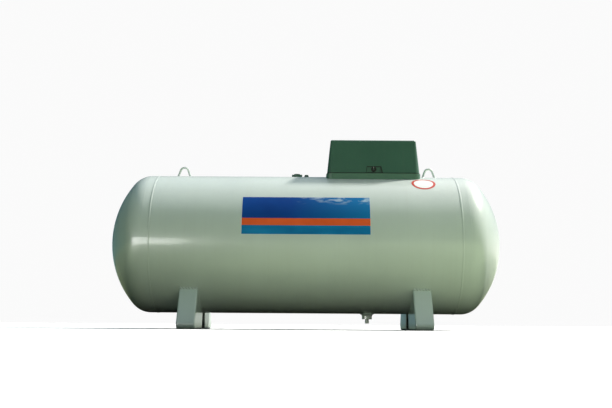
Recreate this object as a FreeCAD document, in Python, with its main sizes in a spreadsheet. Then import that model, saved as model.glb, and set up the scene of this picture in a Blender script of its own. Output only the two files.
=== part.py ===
"""Horizontal pressure tank for liquefied gas on four folded feet, in millimetres.

The ground is z = 0, the tank's axis runs along X, and the front with the lock is at -Y.
A rolled barrel closed by two dished heads stands on four folded plate feet.  The fittings
are in a row on top, under a tapered hood whose lid is hinged at the back of its collar.
"""
import FreeCAD, Part
import math
import os
import re
import Sketcher
from FreeCAD import Placement, Rotation, Vector

# Driving dimensions.  Each one is a cell of the sheet, under the name given here.
SIZES = {
    # vessel
    "shell_dia": 1000, "shell_wall": 6, "seam_distance": 2142, "ground_clearance": 115,
    "crown_radius": 680, "knuckle_radius": 155, "head_flange": 46,
    "weld_width": 14, "weld_cap": 2.2, "seat_gap": 0.3,
    # folded feet
    "foot_inset": 268, "foot_width": 127, "foot_plate": 8, "foot_splay": 27.5,
    "foot_top_angle": 42.4, "foot_bend": 33, "foot_fold": 10, "foot_centre_gap": 200,
    "sole_depth": 96, "anchor_dia": 18, "anchor_inset": 52, "foot_bead": 8,
    # lifting lugs
    "lug_inset": 164, "lug_bar": 16, "lug_width": 108, "lug_height": 78, "lug_bow": 30,
    # drain below the barrel
    "drain_inset": 624, "drain_flare": 90, "drain_dia": 73, "drain_drop": 39,
    "drain_flare_drop": 15, "drain_bore": 34, "drain_bore_depth": 26, "plug_neck": 24,
    "plug_neck_length": 8, "plug_square": 28, "plug_head": 22, "plug_shank": 20,
    "thread_gap": 0.3,
    # small fittings on top, beside the hood
    "spare_stand": 214, "spare_dia": 76, "spare_height": 17, "spare_plug_dia": 52,
    "spare_plug_height": 10, "vent_stand": 144, "vent_dia": 34, "vent_height": 12,
    "vent_plug": 24, "vent_plug_height": 9,
    # hood
    "hood_inset": 585, "hood_rise": 5, "lid_length": 670, "lid_depth": 380,
    "lid_height": 250, "lid_draft": 5.8, "lid_sheet": 3, "lid_corner": 38, "lid_edge": 12,
    "collar_flare": 6, "collar_sheet": 4, "collar_gap": 1.5, "collar_drop": 60,
    "rim_inset": 20, "rim_height": 20,
    # lock pocket in the front of the lid
    "pocket_width": 106, "pocket_height": 50, "pocket_depth": 12, "pocket_sheet": 2,
    "ring_dia": 34, "ring_bar": 9,
    # hinges behind the lid
    "hinge_spacing": 400, "hinge_width": 64, "hinge_leaf": 3, "hinge_eye": 14,
    "hinge_pin": 8, "hinge_play": 0.08, "hinge_gap": 1, "hinge_slit": 0.5,
    "hinge_drop": 30, "hinge_rise": 46, "hinge_middle": 24, "pin_overhang": 3,
    # row of fittings under the lid
    "fitting_pitch": 112, "boss_dia": 66, "boss_rise": 30, "hex_flats": 50, "hex_height": 18,
    "fill_body": 44, "fill_body_height": 52, "fill_cap_dia": 60, "fill_cap_height": 30,
    "relief_body": 46, "relief_body_height": 88, "relief_cap_dia": 54,
    "relief_cap_height": 22, "valve_body": 40, "valve_body_height": 58, "stem_dia": 14,
    "stem_height": 18, "wheel_dia": 62, "wheel_bar": 11, "wheel_hub": 22, "outlet_dia": 24,
    "outlet_reach": 62, "outlet_nut": 34, "outlet_nut_length": 20, "gauge_flange_dia": 96,
    "gauge_flange_height": 12, "gauge_dial_dia": 70, "gauge_dial_height": 14,
    "liquid_body": 42, "liquid_body_height": 34, "liquid_cap_dia": 48,
    "liquid_cap_height": 20,
}

doc = FreeCAD.newDocument("PressureTank")
sheet = doc.addObject("Spreadsheet::Sheet", "Sizes")
for row, (word, number) in enumerate(SIZES.items(), start=1):
    sheet.set(f"A{row}", word)
    sheet.set(f"B{row}", str(number))
    sheet.setAlias(f"B{row}", word)
doc.recompute()

pieces = []  # the finished sub-parts, in the order in which they are made


def cells(formula):
    """Turn the size names in a formula into references to the sheet's cells."""
    return re.sub(r"\b[a-z]+(_[a-z]+)+\b", lambda found: "Sizes." + found.group(0), str(formula))


def worth(formula):
    """Give the number that a formula of size names has now."""
    return float(sheet.evalExpression(cells(formula)))


def bind(thing, **formulas):
    """Bind properties of an object to formulas; two underscores stand for a dot."""
    for name, formula in formulas.items():
        thing.setExpression(name.replace("__", "."), cells(formula))
    return thing


def put(thing, x="0", y="0", z="0", turn=None):
    """Place an object, with an optional turn about an axis."""
    if turn:
        thing.Placement = Placement(Vector(), Rotation(*turn))
    return bind(thing, Placement__Base__x=x, Placement__Base__y=y, Placement__Base__z=z)


def finish(thing, name):
    """Name a sub-part and keep it for the hand-over."""
    thing.Label = name
    pieces.append(thing)
    return thing


# ---------------------------------------------------------------- drawing helpers

def new_body(name):
    return doc.addObject("PartDesign::Body", name + "_body")


def new_sketch(body, plane, level=None):
    """Start a sketch on one of the body's own origin planes, raised by a formula."""
    origin_plane = next(f for f in body.Origin.OriginFeatures if f.Role == plane + "_Plane")
    sketch = body.newObject("Sketcher::SketchObject", body.Name + "_sketch")
    sketch.AttachmentSupport = [(origin_plane, "")]
    sketch.MapMode = "FlatFace"
    if level:
        sketch.setExpression("AttachmentOffset.Base.z", cells(level))
    return sketch


def fix_point(sketch, edge, end, x, y):
    for kind, formula in (("DistanceX", x), ("DistanceY", y)):
        sketch.addConstraint(Sketcher.Constraint(kind, -1, 1, edge, end, worth(formula)))
        sketch.setExpression(f"Constraints[{sketch.ConstraintCount - 1}]", cells(formula))


def arc_centre(start, stop, radius, turn):
    """Centre of the short arc from start to stop; turn is 1 anticlockwise, -1 clockwise."""
    chord = stop - start
    middle = (start + stop) / 2
    away = math.sqrt(max(radius ** 2 - (chord.Length / 2) ** 2, 0))
    side = Vector(-chord.y, chord.x, 0).normalize() * turn
    return middle + side * away


def outline(sketch, corners):
    """Draw a closed outline.  A corner is (x, y), or (x, y, radius, turn) after an arc."""
    spots = [Vector(worth(c[0]), worth(c[1]), 0) for c in corners]
    ends = []
    for index, corner in enumerate(corners):
        start, stop = spots[index - 1], spots[index]
        if len(corner) == 2:
            edge = sketch.addGeometry(Part.LineSegment(start, stop))
            ends.append((edge, 1, 2))
            continue
        radius, turn = worth(corner[2]), corner[3]
        centre = arc_centre(start, stop, radius, turn)
        first, last = (start, stop) if turn > 0 else (stop, start)
        angles = [math.atan2(p.y - centre.y, p.x - centre.x) for p in (first, last)]
        circle = Part.Circle(centre, Vector(0, 0, 1), radius)
        edge = sketch.addGeometry(Part.ArcOfCircle(circle, *angles))
        ends.append((edge, 1, 2) if turn > 0 else (edge, 2, 1))
        sketch.addConstraint(Sketcher.Constraint("Radius", edge, radius))
        sketch.setExpression(f"Constraints[{sketch.ConstraintCount - 1}]", cells(corner[2]))
    for index, corner in enumerate(corners):
        edge, _, stop = ends[index]
        following, start, _ = ends[(index + 1) % len(corners)]
        sketch.addConstraint(Sketcher.Constraint("Coincident", edge, stop, following, start))
        fix_point(sketch, edge, stop, corner[0], corner[1])
    return sketch


def circle(sketch, diameter, x="0", y="0"):
    ring = Part.Circle(Vector(worth(x), worth(y), 0), Vector(0, 0, 1), worth(diameter) / 2)
    edge = sketch.addGeometry(ring)
    sketch.addConstraint(Sketcher.Constraint("Diameter", edge, worth(diameter)))
    sketch.setExpression(f"Constraints[{sketch.ConstraintCount - 1}]", cells(diameter))
    fix_point(sketch, edge, 3, x, y)
    return sketch


def rounded_rectangle(sketch, length, depth, corner):
    """Draw a rectangle with round corners about the sketch's origin."""
    half_x, half_y = f"({length}) / 2", f"({depth}) / 2"
    corners = []
    for sign_x, sign_y in ((1, 1), (-1, 1), (-1, -1), (1, -1)):
        side = (f"{sign_x} * {half_x}", f"{sign_y} * ({half_y} - ({corner}))")
        end = (f"{sign_x} * ({half_x} - ({corner}))", f"{sign_y} * {half_y}")
        before, after = (side, end) if sign_x == sign_y else (end, side)
        corners += [before, after + (corner, 1)]
    return outline(sketch, corners)


def pad(body, sketch, length, middle=False, down=False, draft=None):
    feature = body.newObject("PartDesign::Pad", body.Name + "_pad")
    feature.Profile = sketch
    feature.Midplane = middle
    feature.Reversed = down
    if draft:
        bind(feature, TaperAngle=draft)
    return bind(feature, Length=length)


def pocket(body, sketch, depth, middle=False, up=False):
    """Cut a sketch out of the body, and make sure that it removes material."""
    doc.recompute()
    before = body.Shape.Volume
    feature = body.newObject("PartDesign::Pocket", body.Name + "_pocket")
    feature.Profile = sketch
    feature.Midplane = middle
    feature.Reversed = up
    bind(feature, Length=depth)
    doc.recompute()
    if body.Shape.Volume >= before:
        raise RuntimeError(body.Name + ": a pocket removes nothing")
    return feature


def revolve(body, sketch, axis):
    feature = body.newObject("PartDesign::Revolution", body.Name + "_turn")
    feature.Profile = sketch
    feature.ReferenceAxis = (sketch, [axis])
    feature.Angle = 360
    return feature


def fillet(body, radius, wanted):
    """Round the edges of the body's tip that the test picks."""
    doc.recompute()
    tip = body.Tip
    names = [f"Edge{i}" for i, edge in enumerate(tip.Shape.Edges, start=1) if wanted(edge)]
    feature = body.newObject("PartDesign::Fillet", body.Name + "_fillet")
    feature.Base = (tip, names)
    return bind(feature, Radius=radius)


def solid(kind, name, **formulas):
    return bind(doc.addObject("Part::" + kind, name), **formulas)


def joined(name, parts):
    feature = doc.addObject("Part::MultiFuse", name)
    feature.Shapes = parts
    feature.Refine = True
    return feature


def less(name, base, tool):
    feature = doc.addObject("Part::Cut", name)
    feature.Base = base
    feature.Tool = tool
    return feature


def fitted_to_shell(name, base):
    """Cut the barrel's outside, and the seat gap, out of a piece that is welded on it."""
    reach = "2 * seam_distance"
    tool = solid("Cylinder", name + "_shell", Radius="shell_dia / 2 + seat_gap", Height=reach)
    put(tool, x="-seam_distance", z=AXIS_Z, turn=(Vector(0, 1, 0), 90))
    return less(name + "_fitted", base, tool)


def tiers(name, x, z, rows, down=False):
    """Stack round, hexagonal or square tiers on each other; z is where the first starts."""
    stack, level = [], z
    for index, (form, width, height) in enumerate(rows):
        label = f"{name}_tier{index}"
        if form == "round":
            tier = solid("Cylinder", label, Radius=f"({width}) / 2", Height=height)
        else:
            sides = {"hexagon": 6, "square": 4}[form]
            tier = solid("Prism", label, Height=height,
                         Circumradius=f"({width}) / 2 / cos(180 deg / {sides})")
            tier.Polygon = sides
        if down:
            level = f"{level} - ({height})"
        put(tier, x=x, z=level, turn=(Vector(0, 0, 1), 45 if form == "square" else 0))
        if not down:
            level = f"{level} + ({height})"
        stack.append(tier)
    return (joined(name + "_stack", stack) if len(stack) > 1 else stack[0]), level


# ---------------------------------------------------------------- pressure vessel

AXIS_Z = "(shell_dia / 2 + ground_clearance)"
SHELL_TOP = "(shell_dia + ground_clearance)"
SHELL_BOTTOM = "ground_clearance"


def make_barrel():
    """Rolled plate between the two round welds."""
    body = new_body("barrel")
    sketch = new_sketch(body, "YZ")
    circle(sketch, "shell_dia")
    circle(sketch, "shell_dia - 2 * shell_wall")
    pad(body, sketch, "seam_distance - weld_width", middle=True)
    finish(put(body, z=AXIS_Z), "barrel")


def head_corners():
    """Half section of a dished head, from its welded edge at x = 0 to its tip."""
    inner_crown = "(crown_radius - knuckle_radius)"
    knuckle_y = "(shell_dia / 2 - knuckle_radius)"
    lean = f"asin({knuckle_y} / {inner_crown})"
    crown_x = f"(head_flange - {inner_crown} * cos({lean}))"

    def wall(inset):
        crown, knuckle = f"(crown_radius - {inset})", f"(knuckle_radius - {inset})"
        edge = ("head_flange", f"{knuckle_y} + {knuckle}")
        turn_in = (f"{crown_x} + {crown} * cos({lean})", f"{crown} * sin({lean})")
        tip = (f"{crown_x} + {crown}", "0")
        return edge, turn_in, tip, crown, knuckle

    edge, turn_in, tip, crown, knuckle = wall("0")
    inner_edge, inner_turn, inner_tip, inner_radius, inner_knuckle = wall("shell_wall")
    return [("0", "shell_dia / 2 - shell_wall"), ("0", "shell_dia / 2"), edge,
            turn_in + (knuckle, -1), tip + (crown, -1), inner_tip,
            inner_turn + (inner_radius, 1), inner_edge + (inner_knuckle, 1)]


def make_head(side, name):
    """Pressed head with a crown, a knuckle and a straight flange."""
    body = new_body(name)
    revolve(body, outline(new_sketch(body, "XY"), head_corners()), "H_Axis")
    turn = (Vector(0, 0, 1), 0 if side > 0 else 180)
    place = f"{side} * (seam_distance + weld_width) / 2"
    finish(put(body, x=place, z=AXIS_Z, turn=turn), name)


def make_girth_weld(side, name):
    """Weld that fills the joint between barrel and head and stands a little proud."""
    body = new_body(name)
    bulge = "((weld_width / 2) ^ 2 + weld_cap ^ 2) / (2 * weld_cap)"
    inside, outside = "shell_dia / 2 - shell_wall", "shell_dia / 2"
    corners = [("-weld_width / 2", inside), ("weld_width / 2", inside),
               ("weld_width / 2", outside), ("-weld_width / 2", outside, bulge, 1)]
    revolve(body, outline(new_sketch(body, "XY"), corners), "H_Axis")
    finish(put(body, x=f"{side} * seam_distance / 2", z=AXIS_Z), name)


# ---------------------------------------------------------------- folded feet

SEAT = "(shell_dia / 2 + seat_gap)"
LEAN = "foot_splay * 1 deg"
TOP_Y = f"(-{SEAT} * cos(foot_top_angle * 1 deg))"
TOP_Z = f"({AXIS_Z} - {SEAT} * sin(foot_top_angle * 1 deg))"
BEND_Z = f"(foot_bend * (1 + sin({LEAN})))"
BEND_Y = f"({TOP_Y} - ({TOP_Z} - {BEND_Z}) * tan({LEAN}))"
SOLE_Y = f"({BEND_Y} + foot_bend * cos({LEAN}))"


def foot_side():
    """Side outline of a foot: splayed front, bent sole, and flanges up to the shell."""
    low_end = "(-foot_centre_gap / 2)"
    high_end = f"({low_end} + ground_clearance * tan({LEAN}) / 2)"
    high_z = f"{AXIS_Z} - sqrt({SEAT} ^ 2 - {high_end} ^ 2)"
    return [(TOP_Y, TOP_Z), (BEND_Y, BEND_Z), (SOLE_Y, "0", "foot_bend", 1), (low_end, "0"),
            (high_end, high_z), (TOP_Y, TOP_Z, SEAT, -1)][1:]


def foot_hollow():
    """Room between the flanges: behind the front plate, above the sole, open inward."""
    inner = "(foot_bend - foot_plate)"
    rise = "(shell_dia / 2)"
    front_y = f"({BEND_Y} + foot_plate * cos({LEAN}))"
    front_z = f"({BEND_Z} - foot_plate * sin({LEAN}))"
    sole_end = f"({SOLE_Y} + sole_depth)"
    return [(f"{front_y} + {rise} * tan({LEAN})", f"{front_z} + {rise}"), (front_y, front_z),
            (SOLE_Y, "foot_plate", inner, 1), (sole_end, "foot_plate"),
            (sole_end, "-foot_plate"), ("foot_plate", "-foot_plate"),
            ("foot_plate", f"{front_z} + {rise}")]


def make_foot(end, side, name):
    """Foot folded from one plate, with an anchor hole in its sole."""
    body = new_body(name)
    pad(body, outline(new_sketch(body, "YZ"), foot_side()), "foot_width", middle=True)
    front = worth(BEND_Y)

    def fold(edge):
        box = edge.BoundBox
        return box.XLength < 0.01 and box.ZLength > 50 and box.YMin < front + 1

    fillet(body, "foot_fold", fold)
    hollow = outline(new_sketch(body, "YZ"), foot_hollow())
    pocket(body, hollow, "foot_width - 2 * foot_plate", middle=True)
    hole = circle(new_sketch(body, "XY"), "anchor_dia", y=f"{SOLE_Y} + anchor_inset")
    pocket(body, hole, "foot_plate", up=True)
    turn = (Vector(0, 0, 1), 0 if side < 0 else 180)
    finish(put(body, x=f"{end} * (seam_distance / 2 - foot_inset)", turn=turn), name)


def make_foot_weld(end, side, name):
    """Weld along the top edge of a foot, in the corner between its plate and the shell."""
    body = new_body(name)
    corner_y = f"({TOP_Y} - seat_gap)"
    up_y = f"{corner_y} - foot_bead * sin(foot_top_angle * 1 deg)"
    up_z = f"{TOP_Z} + foot_bead * cos(foot_top_angle * 1 deg)"
    down_y = f"{corner_y} - foot_bead * sin({LEAN})"
    down_z = f"{TOP_Z} - foot_bead * cos({LEAN})"
    corners = [(corner_y, TOP_Z), (up_y, up_z), (down_y, down_z, "foot_bead", 1)]
    pad(body, outline(new_sketch(body, "YZ"), corners), "foot_width", middle=True)
    turn = (Vector(0, 0, 1), 0 if side < 0 else 180)
    finish(put(body, x=f"{end} * (seam_distance / 2 - foot_inset)", turn=turn), name)


# ---------------------------------------------------------------- lifting lugs

def make_lug(side, name):
    """Round bar bent to an arch with spread legs, welded upright on top of the barrel."""
    half, rise = "((lug_width - lug_bar) / 2)", "(lug_height - lug_bar / 2 - lug_bow)"
    spread = f"(acos(lug_bow / sqrt({half} ^ 2 + {rise} ^ 2)) - atan({rise} / {half}))"
    bend_x, bend_z = f"(lug_bow * cos({spread}))", f"({rise} + lug_bow * sin({spread}))"
    foot_x, foot_z = f"({half} + lug_bar / 2 * tan({spread}))", "(-lug_bar / 2)"
    wide, low = worth(foot_x), worth(foot_z)
    narrow, high, middle = worth(bend_x), worth(bend_z), worth(rise)
    turn = math.atan2(high - middle, narrow)

    body = new_body(name + "_bar")
    path = new_sketch(body, "XZ")
    left = path.addGeometry(Part.LineSegment(Vector(-wide, low, 0), Vector(-narrow, high, 0)))
    ring = Part.Circle(Vector(0, middle, 0), Vector(0, 0, 1), worth("lug_bow"))
    arch = path.addGeometry(Part.ArcOfCircle(ring, turn, math.pi - turn))
    right = path.addGeometry(Part.LineSegment(Vector(narrow, high, 0), Vector(wide, low, 0)))
    path.addConstraint(Sketcher.Constraint("Coincident", left, 2, arch, 2))
    path.addConstraint(Sketcher.Constraint("Coincident", arch, 1, right, 1))
    fix_point(path, left, 1, f"-{foot_x}", foot_z)
    fix_point(path, left, 2, f"-{bend_x}", bend_z)
    fix_point(path, right, 1, bend_x, bend_z)
    fix_point(path, right, 2, foot_x, foot_z)
    path.addConstraint(Sketcher.Constraint("DistanceY", -1, 1, arch, 3, middle))
    path.setExpression(f"Constraints[{path.ConstraintCount - 1}]", cells(rise))
    section = circle(new_sketch(body, "XY", foot_z), "lug_bar", x=f"-{foot_x}")
    sweep = body.newObject("PartDesign::AdditivePipe", name + "_sweep")
    sweep.Profile = section
    sweep.Spine = path
    put(body, x=f"{side} * (seam_distance / 2 - lug_inset)", z=SHELL_TOP)
    finish(fitted_to_shell(name, body), name)


# ---------------------------------------------------------------- drain and top fittings

DRAIN_X = "(seam_distance / 2 - drain_inset)"
HOOD_X = "(seam_distance / 2 - hood_inset)"
HOOD_Z = "(shell_dia + ground_clearance + hood_rise)"
HOOD_LEFT = f"({HOOD_X} - lid_length / 2 - collar_flare)"


def make_drain():
    """Flared boss under the barrel, with a square-headed plug screwed in."""
    flare = solid("Cone", "drain_flare_cone", Radius1="drain_dia / 2", Height="drain_flare_drop",
                  Radius2="drain_flare / 2")
    put(flare, x=DRAIN_X, z=f"{SHELL_BOTTOM} - drain_flare_drop")
    sleeve = solid("Cylinder", "drain_sleeve", Radius="drain_dia / 2", Height="drain_drop")
    put(sleeve, x=DRAIN_X, z=f"{SHELL_BOTTOM} - drain_drop")
    root = solid("Cylinder", "drain_root", Radius="drain_flare / 2", Height="shell_wall")
    put(root, x=DRAIN_X, z=SHELL_BOTTOM)
    bore = solid("Cylinder", "drain_bore_tool", Radius="drain_bore / 2",
                 Height="drain_bore_depth")
    put(bore, x=DRAIN_X, z=f"{SHELL_BOTTOM} - drain_drop")
    boss = less("drain_bored", joined("drain_mass", [flare, sleeve, root]), bore)
    finish(fitted_to_shell("drain", boss), "drain_boss")
    plug, _ = tiers("plug", DRAIN_X, f"{SHELL_BOTTOM} - drain_drop + plug_shank",
                    [("round", "drain_bore - 2 * thread_gap", "plug_shank"),
                     ("round", "plug_neck", "plug_neck_length"),
                     ("square", "plug_square", "plug_head")], down=True)
    finish(plug, "drain_plug")


def make_boss(name, x, diameter, height):
    """Round boss welded on the barrel; gives the level of its top."""
    root = f"{SHELL_TOP} - shell_wall * 2"
    boss, top = tiers(name, x, root, [("round", diameter, f"{height} + shell_wall * 2")])
    finish(fitted_to_shell(name, boss), name)
    return top


def make_top_fittings():
    """Plugged spare boss and small vent plug in the middle of the barrel."""
    spare_x, vent_x = f"{HOOD_LEFT} - spare_stand", f"{HOOD_LEFT} - vent_stand"
    level = make_boss("spare_boss", spare_x, "spare_dia", "spare_height")
    rows = [("round", "spare_plug_dia", "spare_plug_height / 2"),
            ("hexagon", "spare_plug_dia * 0.7", "spare_plug_height / 2")]
    finish(tiers("spare_plug", spare_x, level, rows)[0], "spare_plug")
    level = make_boss("vent_boss", vent_x, "vent_dia", "vent_height")
    rows = [("hexagon", "vent_plug", "vent_plug_height")]
    finish(tiers("vent_plug", vent_x, level, rows)[0], "vent_plug")


# ---------------------------------------------------------------- hood

PIN_Y = "(lid_depth / 2 + collar_flare + hinge_gap + hinge_eye / 2)"


def make_collar():
    """Fixed collar: a skirt down to the shell, a flat ledge and an upright rim."""
    body = new_body("collar")
    wide = ("lid_length + 2 * collar_flare", "lid_depth + 2 * collar_flare")
    corner = "lid_corner + collar_flare"
    skirt = rounded_rectangle(new_sketch(body, "XY"), *wide, corner)
    pad(body, skirt, "collar_drop", down=True)
    inset = "(lid_sheet + rim_inset)"
    rim = rounded_rectangle(new_sketch(body, "XY"), f"lid_length - 2 * {inset}",
                            f"lid_depth - 2 * {inset}", f"lid_corner - {inset} / 2")
    pad(body, rim, "rim_height")
    bare = f"({inset} + collar_sheet)"
    well = rounded_rectangle(new_sketch(body, "XY", "rim_height"),
                             f"lid_length - 2 * {bare}", f"lid_depth - 2 * {bare}",
                             f"lid_corner - {bare} / 2")
    pocket(body, well, "rim_height + collar_drop")
    thin = "(2 * collar_sheet)"
    room = rounded_rectangle(new_sketch(body, "XY", "-collar_drop"), f"{wide[0]} - {thin}",
                             f"{wide[1]} - {thin}", f"{corner} - collar_sheet")
    pocket(body, room, "collar_drop - collar_sheet", up=True)
    put(body, x=HOOD_X, z=f"{HOOD_Z} - collar_gap")
    finish(fitted_to_shell("collar", body), "hood_collar")


def lid_form(name, inset):
    """Tapered block with rounded corners and top edges, inset from the lid's outside."""
    body = new_body(name)
    base = rounded_rectangle(new_sketch(body, "XY"), f"lid_length - 2 * {inset}",
                             f"lid_depth - 2 * {inset}", f"lid_corner - {inset}")
    tall = f"lid_height - {inset}"
    pad(body, base, tall, draft="-lid_draft")
    top = worth(tall) - 1
    fillet(body, f"lid_edge - {inset}", lambda edge: edge.BoundBox.ZMin > top)
    return body


def make_lid():
    """Tapered lid pressed from sheet, open below, with a window for the lock pocket."""
    shell = less("lid_shell", lid_form("lid_outside", "0"), lid_form("lid_inside", "lid_sheet"))
    window = solid("Box", "lid_window", Length="pocket_width", Width="pocket_depth * 2",
                   Height="pocket_height * 2")
    put(window, x="-pocket_width / 2", y="-lid_depth / 2 - pocket_depth", z="-pocket_height")
    lid = less("lid_cut", shell, window)
    finish(put(lid, x=HOOD_X, z=HOOD_Z), "hood_lid")


def make_lock():
    """Shallow pocket for the lock, set in the lid's window, with a ring in a staple."""
    slope = "tan(lid_draft * 1 deg)"
    top = "(pocket_height - seat_gap)"
    face = "(-lid_depth / 2)"
    back = f"({face} + pocket_depth)"
    body = new_body("lock_pocket")
    profile = [(face, "0"), (back, "0"), (back, top), (f"{face} + {top} * {slope}", top)]
    width = "pocket_width - 2 * seat_gap"
    pad(body, outline(new_sketch(body, "YZ"), profile), width, middle=True)
    floor, roof = f"{back} - pocket_sheet", f"{top} - pocket_sheet"
    room = [(f"{face} - pocket_depth", "-pocket_sheet"), (floor, "-pocket_sheet"),
            (floor, roof), (f"{face} - pocket_depth", roof)]
    pocket(body, outline(new_sketch(body, "YZ"), room), f"{width} - 2 * pocket_sheet",
           middle=True)
    finish(put(body, x=HOOD_X, z=HOOD_Z), "lock_pocket")
    ring = solid("Torus", "ring", Radius1="(ring_dia - ring_bar) / 2", Radius2="ring_bar / 2")
    ring_y = f"{floor} - ring_bar / 2 - seat_gap"
    put(ring, x=HOOD_X, y=ring_y, z=f"{HOOD_Z} + {top} / 2",
        turn=(Vector(1, 0, 0), 90))
    finish(ring, "lock_ring")


def make_hinge(side, name):
    """Butt hinge: base with two eyes on the collar, leaf with one eye on the lid, and pin."""
    centre = f"{HOOD_X} + {side} * hinge_spacing / 2"
    back = "(lid_depth / 2 + collar_flare)"
    along = (Vector(0, 1, 0), 90)

    def eye(label, start, length, hole=False):
        size = "hinge_pin / 2 + hinge_play" if hole else "hinge_eye / 2"
        part = solid("Cylinder", f"{name}_{label}", Radius=size, Height=length)
        return put(part, x=f"{centre} + {start}", y=PIN_Y, z=HOOD_Z, turn=along)

    plate = solid("Box", name + "_plate", Length="hinge_width", Width="hinge_leaf",
                  Height="hinge_drop")
    put(plate, x=f"{centre} - hinge_width / 2", y=back, z=f"{HOOD_Z} - hinge_drop")
    outer = "((hinge_width - hinge_middle) / 2 - hinge_slit)"
    eyes = [eye("eye0", "(-hinge_width / 2)", outer),
            eye("eye1", f"(hinge_width / 2 - {outer})", outer)]
    web = solid("Box", name + "_web", Length="hinge_width", Width=f"{PIN_Y} - {back}",
                Height="hinge_eye / 2")
    put(web, x=f"{centre} - hinge_width / 2", y=back, z=f"{HOOD_Z} - hinge_eye / 2")
    notch = solid("Box", name + "_notch", Length="hinge_middle + 2 * hinge_slit",
                  Width="hinge_eye * 2", Height="hinge_eye * 2")
    put(notch, x=f"{centre} - hinge_middle / 2 - hinge_slit", y=f"{back} - seat_gap",
        z=f"{HOOD_Z} - hinge_eye")
    fixed = less(name + "_fixed", joined(name + "_mass", [plate, web] + eyes), notch)
    bore = eye("bore0", "(-hinge_width / 2)", "hinge_width", hole=True)
    finish(less(name + "_bored", fixed, bore), name + "_base")

    body = new_body(name + "_leaf")
    slope = "tan(lid_draft * 1 deg)"
    wall, top = "(lid_depth / 2)", "hinge_rise"
    low = "hinge_slit * 2"
    corners = [(f"{wall} - {low} * {slope}", low), (PIN_Y, low), (PIN_Y, "hinge_eye / 2"),
               (f"{wall} + hinge_leaf - hinge_eye / 2 * {slope}", "hinge_eye / 2"),
               (f"{wall} + hinge_leaf - {top} * {slope}", top),
               (f"{wall} - {top} * {slope}", top)]
    pad(body, outline(new_sketch(body, "YZ"), corners), "hinge_middle", middle=True)
    put(body, x=centre, z=HOOD_Z)
    moving = joined(name + "_moving", [body, eye("eye2", "(-hinge_middle / 2)", "hinge_middle")])
    bore = eye("bore1", "(-hinge_width / 2)", "hinge_width", hole=True)
    finish(less(name + "_drilled", moving, bore), name + "_leaf")

    length = "hinge_width + 2 * pin_overhang"
    pin = solid("Cylinder", name + "_rod", Radius="hinge_pin / 2", Height=length)
    put(pin, x=f"{centre} - ({length}) / 2", y=PIN_Y, z=HOOD_Z, turn=along)
    finish(pin, name + "_pin")


# ---------------------------------------------------------------- fittings under the lid

def make_gas_fittings():
    """Fill valve, relief valve, service valve, level gauge and liquid valve in a row."""
    places = {word: f"{HOOD_X} + {step} * fitting_pitch" for word, step in
              (("fill", -2), ("relief", -1), ("service", 0), ("gauge", 1), ("liquid", 2))}
    tops = {}
    for word in ("fill", "relief", "service", "liquid"):
        tops[word] = make_boss(word + "_boss", places[word], "boss_dia", "boss_rise")
    nut = ("hexagon", "hex_flats", "hex_height")

    stack, level = tiers("fill_valve", places["fill"], tops["fill"],
                         [nut, ("round", "fill_body", "fill_body_height")])
    finish(stack, "fill_valve")
    stack, _ = tiers("fill_cap", places["fill"], level,
                     [("round", "fill_cap_dia", "fill_cap_height")])
    finish(stack, "fill_cap")

    stack, level = tiers("relief_valve", places["relief"], tops["relief"],
                         [nut, ("round", "relief_body", "relief_body_height")])
    finish(stack, "relief_valve")
    stack, _ = tiers("relief_cap", places["relief"], level,
                     [("round", "relief_cap_dia", "relief_cap_height")])
    finish(stack, "relief_cap")

    stack, level = tiers("service", places["service"], tops["service"],
                         [nut, ("round", "valve_body", "valve_body_height"),
                          ("round", "stem_dia", "stem_height")])
    outlet_z = f"{tops['service']} + hex_height + valve_body_height / 2"
    sideways = (Vector(1, 0, 0), 90)
    spout = solid("Cylinder", "outlet", Radius="outlet_dia / 2", Height="outlet_reach")
    put(spout, x=places["service"], z=outlet_z, turn=sideways)
    cap = solid("Prism", "outlet_cap", Circumradius="outlet_nut / 2 / cos(30 deg)",
                Height="outlet_nut_length")
    cap.Polygon = 6
    put(cap, x=places["service"], y="-(outlet_reach - outlet_nut_length)", z=outlet_z,
        turn=sideways)
    finish(joined("service_whole", [stack, spout, cap]), "service_valve")
    wheel = solid("Torus", "wheel_rim", Radius1="(wheel_dia - wheel_bar) / 2",
                  Radius2="wheel_bar / 2")
    put(wheel, x=places["service"], z=f"{level} + wheel_bar / 2")
    web = solid("Cylinder", "wheel_web", Radius="(wheel_dia - wheel_bar) / 2",
                Height="wheel_bar / 2")
    put(web, x=places["service"], z=f"{level} + wheel_bar / 4")
    hub = solid("Cylinder", "wheel_hub_disc", Radius="wheel_hub / 2", Height="wheel_bar")
    put(hub, x=places["service"], z=level)
    finish(joined("wheel", [wheel, web, hub]), "service_wheel")

    level = make_boss("gauge_flange", places["gauge"], "gauge_flange_dia",
                      "gauge_flange_height")
    stack, _ = tiers("gauge", places["gauge"], level,
                     [("round", "gauge_dial_dia", "gauge_dial_height")])
    finish(stack, "level_gauge")

    stack, level = tiers("liquid_valve", places["liquid"], tops["liquid"],
                         [nut, ("round", "liquid_body", "liquid_body_height")])
    finish(stack, "liquid_valve")
    stack, _ = tiers("liquid_cap", places["liquid"], level,
                     [("round", "liquid_cap_dia", "liquid_cap_height")])
    finish(stack, "liquid_cap")


# ---------------------------------------------------------------- assembly

make_barrel()
for sign, hand in ((-1, "left"), (1, "right")):
    make_head(sign, hand + "_head")
    make_girth_weld(sign, hand + "_girth_weld")
    make_lug(sign, hand + "_lifting_lug")
    make_hinge(sign, hand + "_hinge")
    for facing, row in ((-1, "front"), (1, "rear")):
        make_foot(sign, facing, f"{row}_{hand}_foot")
        make_foot_weld(sign, facing, f"{row}_{hand}_foot_weld")
make_drain()
make_top_fittings()
make_collar()
make_lid()
make_lock()
make_gas_fittings()
doc.recompute()

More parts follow.
